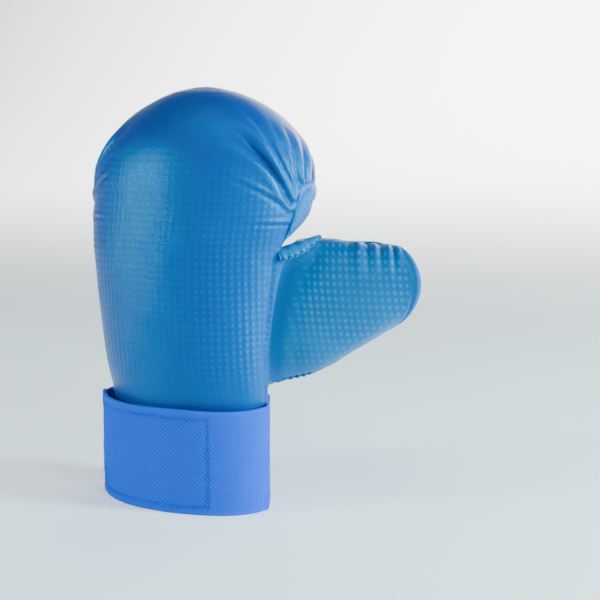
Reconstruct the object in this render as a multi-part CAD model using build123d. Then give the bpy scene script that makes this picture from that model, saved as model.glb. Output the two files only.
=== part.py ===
from build123d import *

import math
import os

# A padded karate mitt for the left hand: back of the hand towards -Y, palm towards +Y, fingers up +Z,
# thumb towards +X. The origin is the centre of the wrist cuff's lower rim. Millimetres.

# ---------------------------------------------------------------- driving dimensions
FOOT = 20.0  # the working solids reach this far below the rim before they are cut
FAR = 120.0  # beyond the model on every side
ANY = (-FAR, FAR)  # no limit along an axis
UP = (0.0, 2 * FAR)  # everything above the rim

LEATHER = 1.5  # cover and panel thickness
LINING = 1.0  # inner fabric
ELASTIC = 2.0  # woven elastic
GAP = 0.15  # clearance between layers

CUFF_HEIGHT = 54.5
CUFF_HALF_WIDTH = 49.0  # outer half width of the closed strap
CUFF_HALF_DEPTH = 30.0

# Outer shape of the mitt, one oval a row: height, half width, half depth, centre X, centre Y.
# Below its first row the mitt is a straight oval tube.
FORM = [
    (54, 44.2, 25.2, 0, 0),
    (75, 47.4, 28.6, -1, 1),
    (98, 51.0, 33.0, -1, 4),
    (134, 57.0, 39.0, -0.5, 9),
    (156, 60.6, 42.0, 2, 12.5),
    (174, 60.6, 42.0, 3, 13.5),
    (187, 55.0, 39.0, 4, 13.5),
    (198, 44.5, 32.5, 5, 12.5),
    (207, 31.0, 23.0, 6, 11.5),
    (213, 17.5, 13.5, 6.5, 11),
    (215.5, 7.0, 5.5, 6.5, 11),
]
# Space for the hand and the curled fingers, in the same way.
CAVITY = [
    (44, 39.4, 20.4, 0, 0),
    (72, 42.0, 21.2, 0, 4.5),
    (98, 45.0, 22.5, 0, 11),
    (134, 50.0, 28.0, 0.5, 17),
    (156, 51.0, 28.8, 2, 17.5),
    (174, 46.0, 26.0, 3, 16.5),
    (186, 34.0, 19.0, 4, 14.5),
    (194, 14.0, 8.5, 4.5, 13),
]

COVER_BOTTOM = 6.0  # the back cover runs down under the strap to here
FOAM_BOTTOM = 8.0
KNUCKLE_Z = 140.0  # height of the fold line over the knuckles
FOLD_GAP = 0.2  # the hand's foam stops this far below the fold line
HOOD_RISE = 3.0  # degrees: lower face of the hood's foam
HAND_FALL = 15.0  # degrees: upper face of the hand's foam, so the V groove is 18 degrees
HOOD_SEAM_Z = 168.0  # seam round the fingers' side of the hood
SEAM = [(3, 0), (3, 54), (-2, 82), (-2, 134), (5, HOOD_SEAM_Z)]  # cover's side seam: Y, Z
HOOD_FLAT_Y = 6.0  # the hood's lower face is straight to here, then rises to its mouth
HOOD_MOUTH = [(26, 155), (34, 159)]  # Y, Z of the hood's open edge on the palm side
GUSSET_EDGE = [(-4, 142.4), (26, 154.6), (40, 158.6)]  # lower edge of the hood's side gussets: Y, Z
FACING_EDGE = [(-FAR, 162), (-40, 158), (0, 154), (40, 158), (FAR, 162)]  # lower edge of the facing: X, Z

PALM_BAND = (84.0, 134.0)  # elastic across the palm, low and high edge
PALM_BAND_END = 32.0  # half width
BAND_INSET = 2.5  # the palm band's face lies this far inside the mitt's oval
BAND_FLAT = 3.0  # the palm band's upper edge lies this much nearer the hand than the mitt's oval
HEEL_Z = (42.0, 82.0)
PALM_HALF_WIDTH = 22.0  # palm window between the side panels
FINGER_BAND_END = (53.0, 20.5)  # half width before the lining cuts it, and Y of the ends
FINGER_BAND_MIDDLE_Y = 31.0
FINGER_BAND_LOW = (148.0, 132.0)  # lower edge at the ends and in the middle
FINGER_BAND_HIGH = (164.0, 150.0)  # upper edge, likewise
FINGER_BAND_THICKNESS = 1.8

THUMB_ANGLE = 15.0  # thumb's lean towards the palm, in plan
THUMB_BASE = (45.0, 15.0)  # X, Y where the thumb's centre line starts
THUMB_LENGTH = 74.5
THUMB_TIP_Z = 120.0
# Distance along the thumb, half depth, half height, centre Z.
THUMB = [
    (-14, 14.0, 33.0, 98.5),
    (0, 15.5, 36.0, 101.0),
    (20, 17.0, 35.0, 104.5),
    (45, 17.5, 26.5, 111.5),
    (68, 16.5, 17.5, 117.5),
    (84, 15.5, 9.5, 121.0),
]
THUMB_CLEAR = 8.0  # gap between the hand and the stiff part of the thumb, for the thumb's swing
THUMB_FOAM = 4.0
THUMB_HOLE = (13.5, 29.0)  # half depth and half height of the hole in the hand's side panel
THUMB_HOLE_REACH = (-6.0, 12.0)  # distances along the thumb between which the hole is cut
MOUTH_SLOPE = 0.75  # how far the thumb's mouth is cut back towards the palm
MOUTH_BACK = 16.0  # the mouth's plane passes this far on the back side of the thumb's centre line
BINDING = 3.0

STRAP_SPLIT_Y = -6.5  # where the strap folds round the thumb side and its free end begins
STRAP_SLIT = 0.5  # half of the slit between the strap's two lengths
HOOK = 1.2  # thickness of the hook patch
HOOK_Z = (4.0, 50.0)
HOOK_END_X = 10.0  # the hook patch runs from the little finger's side to here
LOOP = 1.3  # thickness of the loop patch
LOOP_Z = (6.5, 48.5)
LOOP_X = (-44.0, 20.0)
PATCH_GAP = 0.1  # between the strap and its hook patch
PATCH_Y = -10.0  # both patches stay on the back side of here
ANCHOR = 2.2  # thickness of the pad that sews the strap to the mitt
ANCHOR_Y = (-4.0, 10.0)

SEWN_GAP = 0.3  # clearance along a sewn edge


# ---------------------------------------------------------------- helpers
def oval_at(table, z):
    """Half width, half depth and centre X and Y of a table's oval at height z, on a smooth curve."""
    last = len(table) - 1
    row = max(k for k in range(last) if table[k][0] <= z)
    before, low, high, after = (table[min(max(k, 0), last)] for k in range(row - 1, row + 3))
    span = high[0] - low[0]
    share = (z - low[0]) / span
    oval = []
    for a, b, c, d in zip(before[1:], low[1:], high[1:], after[1:]):
        slope_low = (c - a) / (high[0] - before[0]) * span
        slope_high = (d - b) / (after[0] - low[0]) * span
        from_values = b + (c - b) * share**2 * (3 - 2 * share)
        from_slopes = share * (1 - share) * ((1 - share) * slope_low - share * slope_high)
        oval.append(from_values + from_slopes)
    return oval


def form(table, inset=0.0):
    """The solid through a table's ovals with its straight foot, pulled in by inset all round."""
    heights = [row[0] for row in table]
    heights = sorted(heights + [(low + high) / 2 for low, high in zip(heights, heights[1:])])
    ovals = []
    for z in heights:
        half_width, half_depth, centre_x, centre_y = oval_at(table, z)
        drop = inset if z == heights[-1] else 0
        ovals.append(Pos(centre_x, centre_y, z - drop) * Ellipse(half_width - inset, half_depth - inset))
    foot = Pos(table[0][3], table[0][4], -FOOT - inset) * Ellipse(table[0][1] - inset, table[0][2] - inset)
    return loft([foot, *ovals], ruled=True)


def side_prism(points):
    """Everything whose Y, Z lies in the outline."""
    return extrude(Plane.YZ * make_face(Polyline(*points, close=True)), FAR, both=True)


def front_prism(points):
    """Everything whose X, Z lies in the outline."""
    return extrude(Plane.XZ * make_face(Polyline(*points, close=True)), FAR, both=True)


def block(x, y, z):
    """A box from its low and high limits along each axis."""
    return Pos(*((low + high) / 2 for low, high in (x, y, z))) * Box(*(high - low for low, high in (x, y, z)))


def cuff_ring(inner_gap, thickness, z_low, z_high):
    """An oval band inside the closed strap's outer face."""
    half_width = CUFF_HALF_WIDTH - inner_gap
    half_depth = CUFF_HALF_DEPTH - inner_gap
    band = Ellipse(half_width, half_depth) - Ellipse(half_width - thickness, half_depth - thickness)
    return Pos(0, 0, z_low) * extrude(band, z_high - z_low)


def thumb_plane(distance, centre_z):
    """Upright plane across the thumb at a distance along it; its local X points towards the palm."""
    lean = math.radians(THUMB_ANGLE)
    x = THUMB_BASE[0] + distance * math.cos(lean)
    y = THUMB_BASE[1] + distance * math.sin(lean)
    along = (math.cos(lean), math.sin(lean), 0)
    palmward = (-math.sin(lean), math.cos(lean), 0)
    return Plane(origin=(x, y, centre_z), x_dir=palmward, z_dir=along)


def thumb_tube(inset):
    """The thumb's outer shape pulled in by inset."""
    return loft([thumb_plane(t, z) * Ellipse(w - inset, h - inset) for t, w, h, z in THUMB])


def thumb_side(palm):
    """Half space on the palm side of the thumb, or on its back side."""
    middle = thumb_plane(THUMB_LENGTH / 2, KNUCKLE_Z)
    shift = FAR / 2 if palm else -FAR / 2
    return middle * Pos(shift, 0, 0) * Box(FAR, 2 * FAR, 2 * FAR)


def export(name, shape):
    """Writes one node's solids to its own STEP file."""
    solids = shape.solids()
    export_step(solids[0] if len(solids) == 1 else Compound(children=list(solids)), f"parts/{name}.step")


# ---------------------------------------------------------------- shared shapes
outer = form(FORM)
under_leather = form(FORM, LEATHER)
foam_skin = form(FORM, LEATHER + 2 * GAP)
skin = outer - under_leather
cavity = form(CAVITY)
lining_skin = form(CAVITY, GAP)
lining_inner = form(CAVITY, GAP + LINING)

_, knuckle_depth, _, knuckle_y = oval_at(FORM, KNUCKLE_Z)
PIVOT_Y = knuckle_y - knuckle_depth + LEATHER
rise = math.tan(math.radians(HOOD_RISE))
fall = math.tan(math.radians(HAND_FALL))

above_knuckles = side_prism(
    [
        (-FAR, KNUCKLE_Z - (FAR + PIVOT_Y) * rise),
        (HOOD_FLAT_Y, KNUCKLE_Z + (HOOD_FLAT_Y - PIVOT_Y) * rise),
        *HOOD_MOUTH,
        (FAR, HOOD_MOUTH[-1][1]),
        (FAR, 2 * FAR),
        (-FAR, 2 * FAR),
    ]
)
fold_z = KNUCKLE_Z - FOLD_GAP
below_knuckles = side_prism(
    [
        (-FAR, FOAM_BOTTOM),
        (FAR, FOAM_BOTTOM),
        (FAR, fold_z - (FAR - PIVOT_Y) * fall),
        (PIVOT_Y, fold_z),
        (-FAR, fold_z),
    ]
)
beyond_seam = [(FAR, HOOD_SEAM_Z), (FAR, 2 * FAR), (-FAR, 2 * FAR)]
back_side = side_prism([(-FAR, -FAR), (SEAM[0][0], -FAR), *SEAM, *beyond_seam])
sewn_seam = [(y + SEWN_GAP, z) for y, z in SEAM[:-1]]
sewn_corner = (SEAM[-1][0] + SEWN_GAP, HOOD_SEAM_Z - SEWN_GAP)
palm_side = side_prism([*sewn_seam, sewn_corner, (FAR, HOOD_SEAM_Z - SEWN_GAP), (FAR, 0)])

# ---------------------------------------------------------------- hand
back_cover = skin & back_side & block(ANY, ANY, (COVER_BOTTOM, 2 * FAR))

hand_foam = (foam_skin - cavity) & below_knuckles & back_side
hand_lining = (lining_skin & below_knuckles & back_side) - lining_inner

thumb_hole = loft([thumb_plane(t, THUMB[1][3]) * Ellipse(*THUMB_HOLE) for t in THUMB_HOLE_REACH])
side_wall = skin & palm_side & below_knuckles & block(ANY, ANY, (HEEL_Z[0], KNUCKLE_Z))
side_panel_thumb = (side_wall & block((PALM_HALF_WIDTH, FAR), ANY, UP)) - thumb_hole
side_panel_little = side_wall & block((-FAR, -PALM_HALF_WIDTH), ANY, UP)

heel_reach = PALM_HALF_WIDTH - SEWN_GAP
heel_panel = skin & block((-heel_reach, heel_reach), (0, FAR), HEEL_Z)


def palm_oval(inset):
    """Tapered solid whose palm face carries the elastic band, flatter than the mitt at its top."""
    ovals = []
    for z, flat in zip(PALM_BAND, (0, BAND_FLAT)):
        half_width, half_depth, centre_x, centre_y = oval_at(FORM, z)
        ovals.append(Pos(centre_x, centre_y, z) * Ellipse(half_width - inset, half_depth - inset - flat))
    return loft(ovals)


band_block = block((-PALM_BAND_END, PALM_BAND_END), (0, FAR), UP)
palm_band = (palm_oval(BAND_INSET) - palm_oval(BAND_INSET + ELASTIC)) & band_block

# ---------------------------------------------------------------- wrist strap with hook and loop
strap_ring = cuff_ring(0, ELASTIC, 0, CUFF_HEIGHT)
wrist_strap = strap_ring & block(ANY, (STRAP_SPLIT_Y + STRAP_SLIT, FAR), UP)
strap_flap = strap_ring & block(ANY, (-FAR, STRAP_SPLIT_Y - STRAP_SLIT), UP)
hook_gap = ELASTIC + PATCH_GAP
hook_patch = cuff_ring(hook_gap, HOOK, *HOOK_Z) & block((-FAR, HOOK_END_X), (-FAR, PATCH_Y), UP)
loop_patch = cuff_ring(hook_gap + HOOK, LOOP, *LOOP_Z) & block(LOOP_X, (-FAR, PATCH_Y), UP)
strap_anchor = cuff_ring(ELASTIC + GAP, ANCHOR, *HOOK_Z) & block((-FAR, 0), ANCHOR_Y, UP)

# ---------------------------------------------------------------- hood
hood_foam = (foam_skin - cavity) & above_knuckles
hood_lining = (lining_skin & above_knuckles) - lining_inner

gusset_back, gusset_front = GUSSET_EDGE[0][0], HOOD_MOUTH[-1][0]
gusset_region = palm_side & side_prism([*GUSSET_EDGE, (GUSSET_EDGE[-1][0], 2 * FAR), (gusset_back, 2 * FAR)])
gussets = skin & gusset_region & block(ANY, (gusset_back, gusset_front), UP)
hood_gusset_thumb = gussets & block((0, FAR), ANY, UP)
hood_gusset_little = gussets & block((-FAR, 0), ANY, UP)
facing_region = front_prism([*FACING_EDGE, (FAR, 2 * FAR), (-FAR, 2 * FAR)])
hood_facing = skin & palm_side & facing_region & block(ANY, (gusset_front + SEWN_GAP, FAR), UP)

band_x, band_y = FINGER_BAND_END


def plan_arc(offset):
    """Plan line of the finger band, moved towards the palm by offset."""
    middle = (0, FINGER_BAND_MIDDLE_Y + offset)
    return ThreePointArc((-band_x, band_y + offset), middle, (band_x, band_y + offset))


def sagging_arc(heights):
    """Line across the front view that sags from the band's ends to its middle."""
    z_end, z_middle = heights
    return ThreePointArc((-band_x, z_end), (0, z_middle), (band_x, z_end))


def strip_between(first, second):
    """Face between two arcs."""
    return make_face([first, second, Line(first @ 0, second @ 0), Line(first @ 1, second @ 1)])


band_plan = strip_between(plan_arc(0), plan_arc(FINGER_BAND_THICKNESS))
band_front = strip_between(sagging_arc(FINGER_BAND_LOW), sagging_arc(FINGER_BAND_HIGH))
band_bar = extrude(band_plan, 2 * FAR)
finger_band = band_bar & extrude(Plane.XZ * band_front, FAR, both=True) & form(CAVITY, 2 * GAP + LINING)

# ---------------------------------------------------------------- thumb
hand_touch = form(FORM, -GAP)
hand_clearance = form(FORM, -THUMB_CLEAR)
gusset_clear = form(FORM, GAP - THUMB_CLEAR)

tip = thumb_plane(THUMB_LENGTH, THUMB_TIP_Z)
mouth = Plane(origin=tip.origin - tip.x_dir * MOUTH_BACK, z_dir=tip.z_dir + tip.x_dir * MOUTH_SLOPE)


def past_mouth(start, reach=2 * FAR):
    """Everything from start to reach beyond the mouth's plane."""
    return mouth * Pos(0, 0, start + reach / 2) * Box(4 * FAR, 4 * FAR, reach)


keep_thumb = past_mouth(-BINDING - GAP) + hand_clearance

thumb_skin = thumb_tube(0) - thumb_tube(LEATHER) - keep_thumb
thumb_back_cover = thumb_skin & thumb_side(False)
thumb_palm_cover = thumb_skin & (Pos(*(tip.x_dir * SEWN_GAP)) * thumb_side(True))
thumb_foam = (thumb_tube(LEATHER + GAP) - thumb_tube(LEATHER + GAP + THUMB_FOAM) - keep_thumb) & thumb_side(False)
lining_inset = LEATHER + THUMB_FOAM + 2 * GAP
thumb_lining = thumb_tube(lining_inset) - thumb_tube(lining_inset + LINING) - keep_thumb
thumb_mouth_binding = (thumb_tube(0) - thumb_tube(BINDING)) & past_mouth(-BINDING, BINDING)

gusset_ring = (thumb_tube(0) - thumb_tube(LEATHER)) & gusset_clear
thumb_base_gusset = gusset_ring - hand_touch


def main():
    os.makedirs("parts", exist_ok=True)
    export("back_cover", back_cover)
    export("hand_foam", hand_foam)
    export("hand_lining", hand_lining)
    export("side_panel_thumb", side_panel_thumb)
    export("side_panel_little", side_panel_little)
    export("heel_panel", heel_panel)
    export("palm_band", palm_band)
    export("loop_patch", loop_patch)
    export("wrist_strap", wrist_strap)
    export("strap_anchor", strap_anchor)
    export("strap_flap", strap_flap)
    export("hook_patch", hook_patch)
    export("hood_foam", hood_foam)
    export("hood_lining", hood_lining)
    export("hood_gusset_thumb", hood_gusset_thumb)
    export("hood_gusset_little", hood_gusset_little)
    export("hood_facing", hood_facing)
    export("finger_band", finger_band)
    export("thumb_back_cover", thumb_back_cover)
    export("thumb_palm_cover", thumb_palm_cover)
    export("thumb_foam", thumb_foam)
    export("thumb_lining", thumb_lining)
    export("thumb_mouth_binding", thumb_mouth_binding)
    export("thumb_base_gusset", thumb_base_gusset)


main()
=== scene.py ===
import math

import bmesh
import bpy
import numpy as np
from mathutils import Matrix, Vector


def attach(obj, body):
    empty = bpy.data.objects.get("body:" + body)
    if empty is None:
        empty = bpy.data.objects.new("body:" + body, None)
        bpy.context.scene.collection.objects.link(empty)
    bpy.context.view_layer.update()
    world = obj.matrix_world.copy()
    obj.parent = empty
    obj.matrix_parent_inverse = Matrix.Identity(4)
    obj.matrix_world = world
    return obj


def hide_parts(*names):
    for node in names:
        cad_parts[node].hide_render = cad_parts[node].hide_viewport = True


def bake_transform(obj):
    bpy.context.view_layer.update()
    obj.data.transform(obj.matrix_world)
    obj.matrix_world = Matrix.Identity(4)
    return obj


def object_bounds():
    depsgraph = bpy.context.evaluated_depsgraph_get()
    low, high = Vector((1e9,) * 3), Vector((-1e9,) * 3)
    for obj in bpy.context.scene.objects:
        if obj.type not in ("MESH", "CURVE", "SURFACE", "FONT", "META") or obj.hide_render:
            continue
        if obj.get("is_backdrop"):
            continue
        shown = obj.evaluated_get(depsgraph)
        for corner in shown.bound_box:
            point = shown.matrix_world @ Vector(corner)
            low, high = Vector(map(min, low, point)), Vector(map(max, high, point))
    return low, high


# Looks of a karate mitt. Lengths are worked out in millimetres, in the CAD's frame, and stored in metres.

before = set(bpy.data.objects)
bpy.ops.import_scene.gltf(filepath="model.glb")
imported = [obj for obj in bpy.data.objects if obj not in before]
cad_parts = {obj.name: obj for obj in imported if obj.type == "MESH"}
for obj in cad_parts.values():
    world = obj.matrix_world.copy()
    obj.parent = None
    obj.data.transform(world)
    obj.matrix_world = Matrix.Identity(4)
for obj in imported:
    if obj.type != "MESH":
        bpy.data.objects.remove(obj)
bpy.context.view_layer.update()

# ---------------------------------------------------------------- shape of the mitt, as in the CAD
# Rows of each table: height, half width, half depth, centre x, centre y.
FORM = [
    (54, 44.2, 25.2, 0, 0),
    (75, 47.4, 28.6, -1, 1),
    (98, 51.0, 33.0, -1, 4),
    (134, 57.0, 39.0, -0.5, 9),
    (156, 60.6, 42.0, 2, 12.5),
    (174, 60.6, 42.0, 3, 13.5),
    (187, 55.0, 39.0, 4, 13.5),
    (198, 44.5, 32.5, 5, 12.5),
    (207, 31.0, 23.0, 6, 11.5),
    (213, 17.5, 13.5, 6.5, 11),
    (215.5, 7.0, 5.5, 6.5, 11),
]
CAVITY = [
    (44, 39.4, 20.4, 0, 0),
    (72, 42.0, 21.2, 0, 4.5),
    (98, 45.0, 22.5, 0, 11),
    (134, 50.0, 28.0, 0.5, 17),
    (156, 51.0, 28.8, 2, 17.5),
    (174, 46.0, 26.0, 3, 16.5),
    (186, 34.0, 19.0, 4, 14.5),
    (194, 14.0, 8.5, 4.5, 13),
]
# Rows: distance along the thumb, half depth, half height, centre z, unused.
THUMB = [
    (-14, 14.0, 33.0, 98.5, 0),
    (0, 15.5, 36.0, 101.0, 0),
    (20, 17.0, 35.0, 104.5, 0),
    (45, 17.5, 26.5, 111.5, 0),
    (68, 16.5, 17.5, 117.5, 0),
    (84, 15.5, 9.5, 121.0, 0),
]
TOP = 215.5
SEAM_Y, SEAM_Z = (3, 3, -2, -2, 5), (0, 54, 82, 134, 168)  # the cover's side seam
SEAM_TOP = 168.0
KNUCKLE_Z = 140.0
FOLD_Z = 139.6  # bottom of the groove between the hand's and the hood's padding, at the hood's pivot
PIVOT_Y = -28.48
THUMB_BASE = (45.0, 15.0)
THUMB_LENGTH = 74.5
THUMB_LEAN = math.radians(15)
THUMB_WAY_IN = (12.5, 28.5, 101.5)  # half width, half height and centre height of the hole to the thumb
MOUTH_SLOPE = 0.75
MOUTH_BACK = 16.0
CUFF = (49.0, 30.0)
CUFF_TOP = 54.5
HEEL = (42.0, 82.0)
HEEL_HALF = 21.6
PALM_HALF = 22.0
LEATHER_INSIDE = 1.3  # from the CAD's outer surface to the inner face of the leather
PANEL_INSIDE = 1.45

# Where leather or webbing bends across a joint: the two bodies, and the bend's start and end in metres.
HOOD_BEND = ("hand", "hood", (0, PIVOT_Y / 1000, 0.122), (0, PIVOT_Y / 1000, 0.158))
THUMB_BEND = ("hand", "thumb", (0.0485, 0.0161, 0.1), (0.0605, 0.0193, 0.1))
FOLD_BEND = ("hand", "strap", (0.0480, -0.0050, 0.026), (0.0450, -0.0120, 0.026))


# ---------------------------------------------------------------- working out surfaces
def ovals(table, z):
    """Half width, half depth, centre x and centre y of a table's ovals at heights z, on the CAD's curve."""
    t = np.array(table, float)
    z = np.clip(np.asarray(z, float), t[0, 0], t[-1, 0])
    row = np.clip(np.searchsorted(t[:, 0], z, side="right") - 1, 0, len(t) - 2)
    before, low, high, after = (t[np.clip(row + k, 0, len(t) - 1)] for k in (-1, 0, 1, 2))
    span = (high - low)[..., :1]
    share = (z[..., None] - low[..., :1]) / span
    slope_low = (high - before)[..., 1:] / (high - before)[..., :1] * span
    slope_high = (after - low)[..., 1:] / (after - low)[..., :1] * span
    rise = (high - low)[..., 1:] * share**2 * (3 - 2 * share)
    curve = low[..., 1:] + rise + share * (1 - share) * ((1 - share) * slope_low - share * slope_high)
    return np.moveaxis(curve, -1, 0)


def on(table, phi, z, inset=0.0):
    """Points of a table's surface at angles phi, in degrees from the thumb's side, and at heights z."""
    phi, z = np.broadcast_arrays(np.asarray(phi, float), np.asarray(z, float))
    half_x, half_y, mid_x, mid_y = ovals(table, z)
    turn = np.radians(phi)
    x, y = mid_x + (half_x - inset) * np.cos(turn), mid_y + (half_y - inset) * np.sin(turn)
    return np.stack([x, y, z], -1)


def angle_at(table, y, z, inset=0.0):
    """Angle in degrees, on the thumb's side, where a table's surface at height z passes through y."""
    _, half_y, _, mid_y = ovals(table, z)
    return np.degrees(np.arcsin(np.clip((y - mid_y) / (half_y - inset), -1, 1)))


def seam_y(z):
    return np.interp(z, SEAM_Z, SEAM_Y)


def unit(v):
    return v / np.maximum(np.linalg.norm(v, axis=-1, keepdims=True), 1e-9)


def hill(x, middle, width):
    """A smooth bump of height 1."""
    return np.exp(-(((x - middle) / width) ** 2))


def ease(x):
    """Smooth step from 0 to 1."""
    x = np.clip(x, 0, 1)
    return x * x * (3 - 2 * x)


def square(nu, nv):
    """Grid of shares from 0 to 1 along two axes."""
    return np.meshgrid(np.linspace(0, 1, nu), np.linspace(0, 1, nv), indexing="ij")


def run_along(points):
    """Distance run along axis 0 of a line or grid of points."""
    steps = np.linalg.norm(np.diff(points, axis=0), axis=-1)
    return np.concatenate([0 * steps[:1], np.cumsum(steps, 0)])


def grid_normals(p):
    """Normals of a grid of points; axis 0 runs anticlockwise seen from outside and axis 1 upwards."""
    return unit(np.cross(np.gradient(p, axis=0), np.gradient(p, axis=1)))


def form_normals(phi, z):
    """Outward normals of the mitt's surface."""
    across = on(FORM, phi + 0.5, z) - on(FORM, phi - 0.5, z)
    up = on(FORM, phi, np.minimum(z + 0.4, TOP - 0.1)) - on(FORM, phi, z - 0.4)
    return unit(np.cross(across, up))


def thumb_at(t, a, inset=0.0):
    """Points of the thumb at distances t along it and angles a: 0 palm, 90 top, 180 back, 270 bottom."""
    t, a = np.broadcast_arrays(np.asarray(t, float), np.asarray(a, float))
    half_depth, half_height, mid_z, _ = ovals(THUMB, t)
    u = (half_depth - inset) * np.cos(np.radians(a))
    w = (half_height - inset) * np.sin(np.radians(a))
    c, s = math.cos(THUMB_LEAN), math.sin(THUMB_LEAN)
    return np.stack([THUMB_BASE[0] + t * c - u * s, THUMB_BASE[1] + t * s + u * c, mid_z + w], -1)


def mouth_t(a, inset=0.0, back=0.0):
    """Distance along the thumb at which its mouth's plane cuts it, moved back by back."""
    a = np.asarray(a, float)
    t = np.full(a.shape, THUMB_LENGTH)
    for _ in range(20):
        half_depth = ovals(THUMB, t)[0]
        t = THUMB_LENGTH - MOUTH_SLOPE * ((half_depth - inset) * np.cos(np.radians(a)) + MOUTH_BACK)
    return t - back


def inside_form(p, inset=0.0):
    half_x, half_y, mid_x, mid_y = ovals(FORM, p[..., 2])
    return ((p[..., 0] - mid_x) / (half_x - inset)) ** 2 + ((p[..., 1] - mid_y) / (half_y - inset)) ** 2 < 1


def root_t(a, tube_inset=0.0, form_inset=0.0):
    """Distance along the thumb at which it comes out of the mitt's surface."""
    low, high = np.full(np.shape(a), -13.0), np.full(np.shape(a), 34.0)
    for _ in range(24):
        middle = (low + high) / 2
        within = inside_form(thumb_at(middle, a, tube_inset), form_inset)
        low, high = np.where(within, middle, low), np.where(within, high, middle)
    return low


def noise(p, size, seed):
    """Smooth value from -1 to 1 at points p, with features of about the given size."""
    rng = np.random.default_rng(seed)
    total = np.zeros(p.shape[:-1])
    for _ in range(7):
        direction = unit(rng.normal(size=3))
        length = size * rng.uniform(0.75, 1.5)
        total += np.sin(p @ direction * 2 * math.pi / length + rng.uniform(0, 6.28))
    return total / 3.5


def wave(x, pitch):
    return np.sin(2 * math.pi * x / pitch)


def dots(s, z, pitch_s, pitch_z):
    """Embossed grid of separate rounded bumps, from 0 to 1."""
    both = (np.cos(2 * math.pi * s / pitch_s) + np.cos(2 * math.pi * z / pitch_z)) / 2
    return np.clip(1.2 * both - 0.1, 0, 1)


def pattern_of(s, z):
    return np.stack([s, z, np.zeros_like(s)], -1)


def pad_ends(grid, low, high):
    """The grid with its first and last rows repeated."""
    return np.concatenate([grid[:1]] * low + [grid] + [grid[-1:]] * high)


# ---------------------------------------------------------------- meshes
def make_mesh(name, points, faces, pattern=None, tone=None, weld=True):
    """A mesh object from millimetre points, with its pattern place (mm) and tone as attributes."""
    mesh = bpy.data.meshes.new(name)
    mesh.from_pydata((np.asarray(points).reshape(-1, 3) * 0.001).tolist(), [], np.asarray(faces).tolist())
    count = len(mesh.vertices)
    pattern = np.zeros((count, 3)) if pattern is None else np.asarray(pattern, float).reshape(-1, 3)
    tone = np.zeros(count) if tone is None else np.asarray(tone, float).reshape(-1)
    mesh.attributes.new("pattern", "FLOAT_VECTOR", "POINT").data.foreach_set("vector", pattern.ravel())
    mesh.attributes.new("tone", "FLOAT", "POINT").data.foreach_set("value", tone)
    piece = bpy.data.objects.new(name, mesh)
    bpy.context.scene.collection.objects.link(piece)
    if weld:
        work = bmesh.new()
        work.from_mesh(mesh)
        bmesh.ops.remove_doubles(work, verts=work.verts, dist=2e-6)
        bmesh.ops.recalc_face_normals(work, faces=work.faces)
        work.to_mesh(mesh)
        work.free()
    mesh.polygons.foreach_set("use_smooth", [True] * len(mesh.polygons))
    return piece


def grid_faces(nu, nv, wrap_u=False, wrap_v=False, start=0):
    i = np.arange(nu if wrap_u else nu - 1)[:, None]
    j = np.arange(nv if wrap_v else nv - 1)[None, :]
    i2, j2 = (i + 1) % nu, (j + 1) % nv
    quads = np.stack([i * nv + j, i2 * nv + j, i2 * nv + j2, i * nv + j2], -1)
    return quads.reshape(-1, 4) + start


def sheet_body(name, outer, inner, pattern, tone=0.0, wrap=False, rim=5, bulge=1.0, dome=False):
    """A closed piece between an outer and an inner grid, with rounded rims. A dome is shut at its top."""
    middle, half = (outer + inner) / 2, (outer - inner) / 2
    size = np.linalg.norm(half, axis=-1, keepdims=True)
    tone = np.broadcast_to(tone, outer.shape[:2])

    def rounded(row, away, first, last):
        """Points round the rim at a row, from angle first to last, with their base, pattern and tone."""
        turns = np.radians(np.linspace(first, last, rim + 2)[1:-1])
        arc = [middle[:, row] + half[:, row] * math.cos(k) + away * size[:, row] * bulge * math.sin(k)
               for k in turns]
        same = [np.repeat(np.take(grid, [row], 1), rim, 1) for grid in (middle, pattern, tone)]
        return [np.stack(arc, 1), *same]

    low = rounded(0, unit(middle[:, 0] - middle[:, 1]), 180, 0)
    front = [outer, middle, pattern, tone]
    back = [grid[:, ::-1] for grid in (inner, middle, pattern, tone)]
    if dome:
        blocks = [back, low, front]
    else:
        blocks = [low, front, rounded(-1, unit(middle[:, -1] - middle[:, -2]), 0, 180), back]
    loop, base, pattern, tone = (np.concatenate(parts, 1) for parts in zip(*blocks))

    def cap(end, inside):
        """Rows that round off an end of the loop."""
        way = unit(base[end] - base[inside])
        span = np.linalg.norm(loop[end] - base[end], axis=-1).max()
        return [base[end] + (loop[end] - base[end]) * math.cos(k) + way * span * bulge * math.sin(k)
                for k in np.radians(np.linspace(0, 90, 5)[1:])]

    if not wrap:
        loop = np.concatenate([cap(0, 1)[::-1], loop, cap(-1, -2)])
        pattern, tone = pad_ends(pattern, 4, 4), pad_ends(tone, 4, 4)
    return make_mesh(name, loop, grid_faces(*loop.shape[:2], wrap, not dome), pattern, tone)


TURN_RADIUS, TURN_DEPTH = 0.75, 3.0


def turn_in(grid, normals, both=True):
    """The grid with its first rim along axis 0, or both, turned under, and its normals to match."""
    def rim(edge, inside, n):
        way = unit(edge - inside)
        way = unit(way - n * (way * n).sum(-1, keepdims=True))
        turns = np.radians([36, 72, 108, 144, 180])
        rows = [edge + way * TURN_RADIUS * math.sin(k) - n * TURN_RADIUS * (1 - math.cos(k)) for k in turns]
        ns = [unit(n * math.cos(k) + way * math.sin(k)) for k in turns]
        return rows + [rows[-1] - way * TURN_DEPTH - n * 0.2], ns + [ns[-1]]

    rows, ns = rim(grid[0], grid[1], normals[0])
    rows, ns = [rows[::-1], grid], [ns[::-1], normals]
    if both:
        last_rows, last_ns = rim(grid[-1], grid[-2], normals[-1])
        rows.append(last_rows)
        ns.append(last_ns)
    return np.concatenate(rows), np.concatenate(ns)


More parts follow.
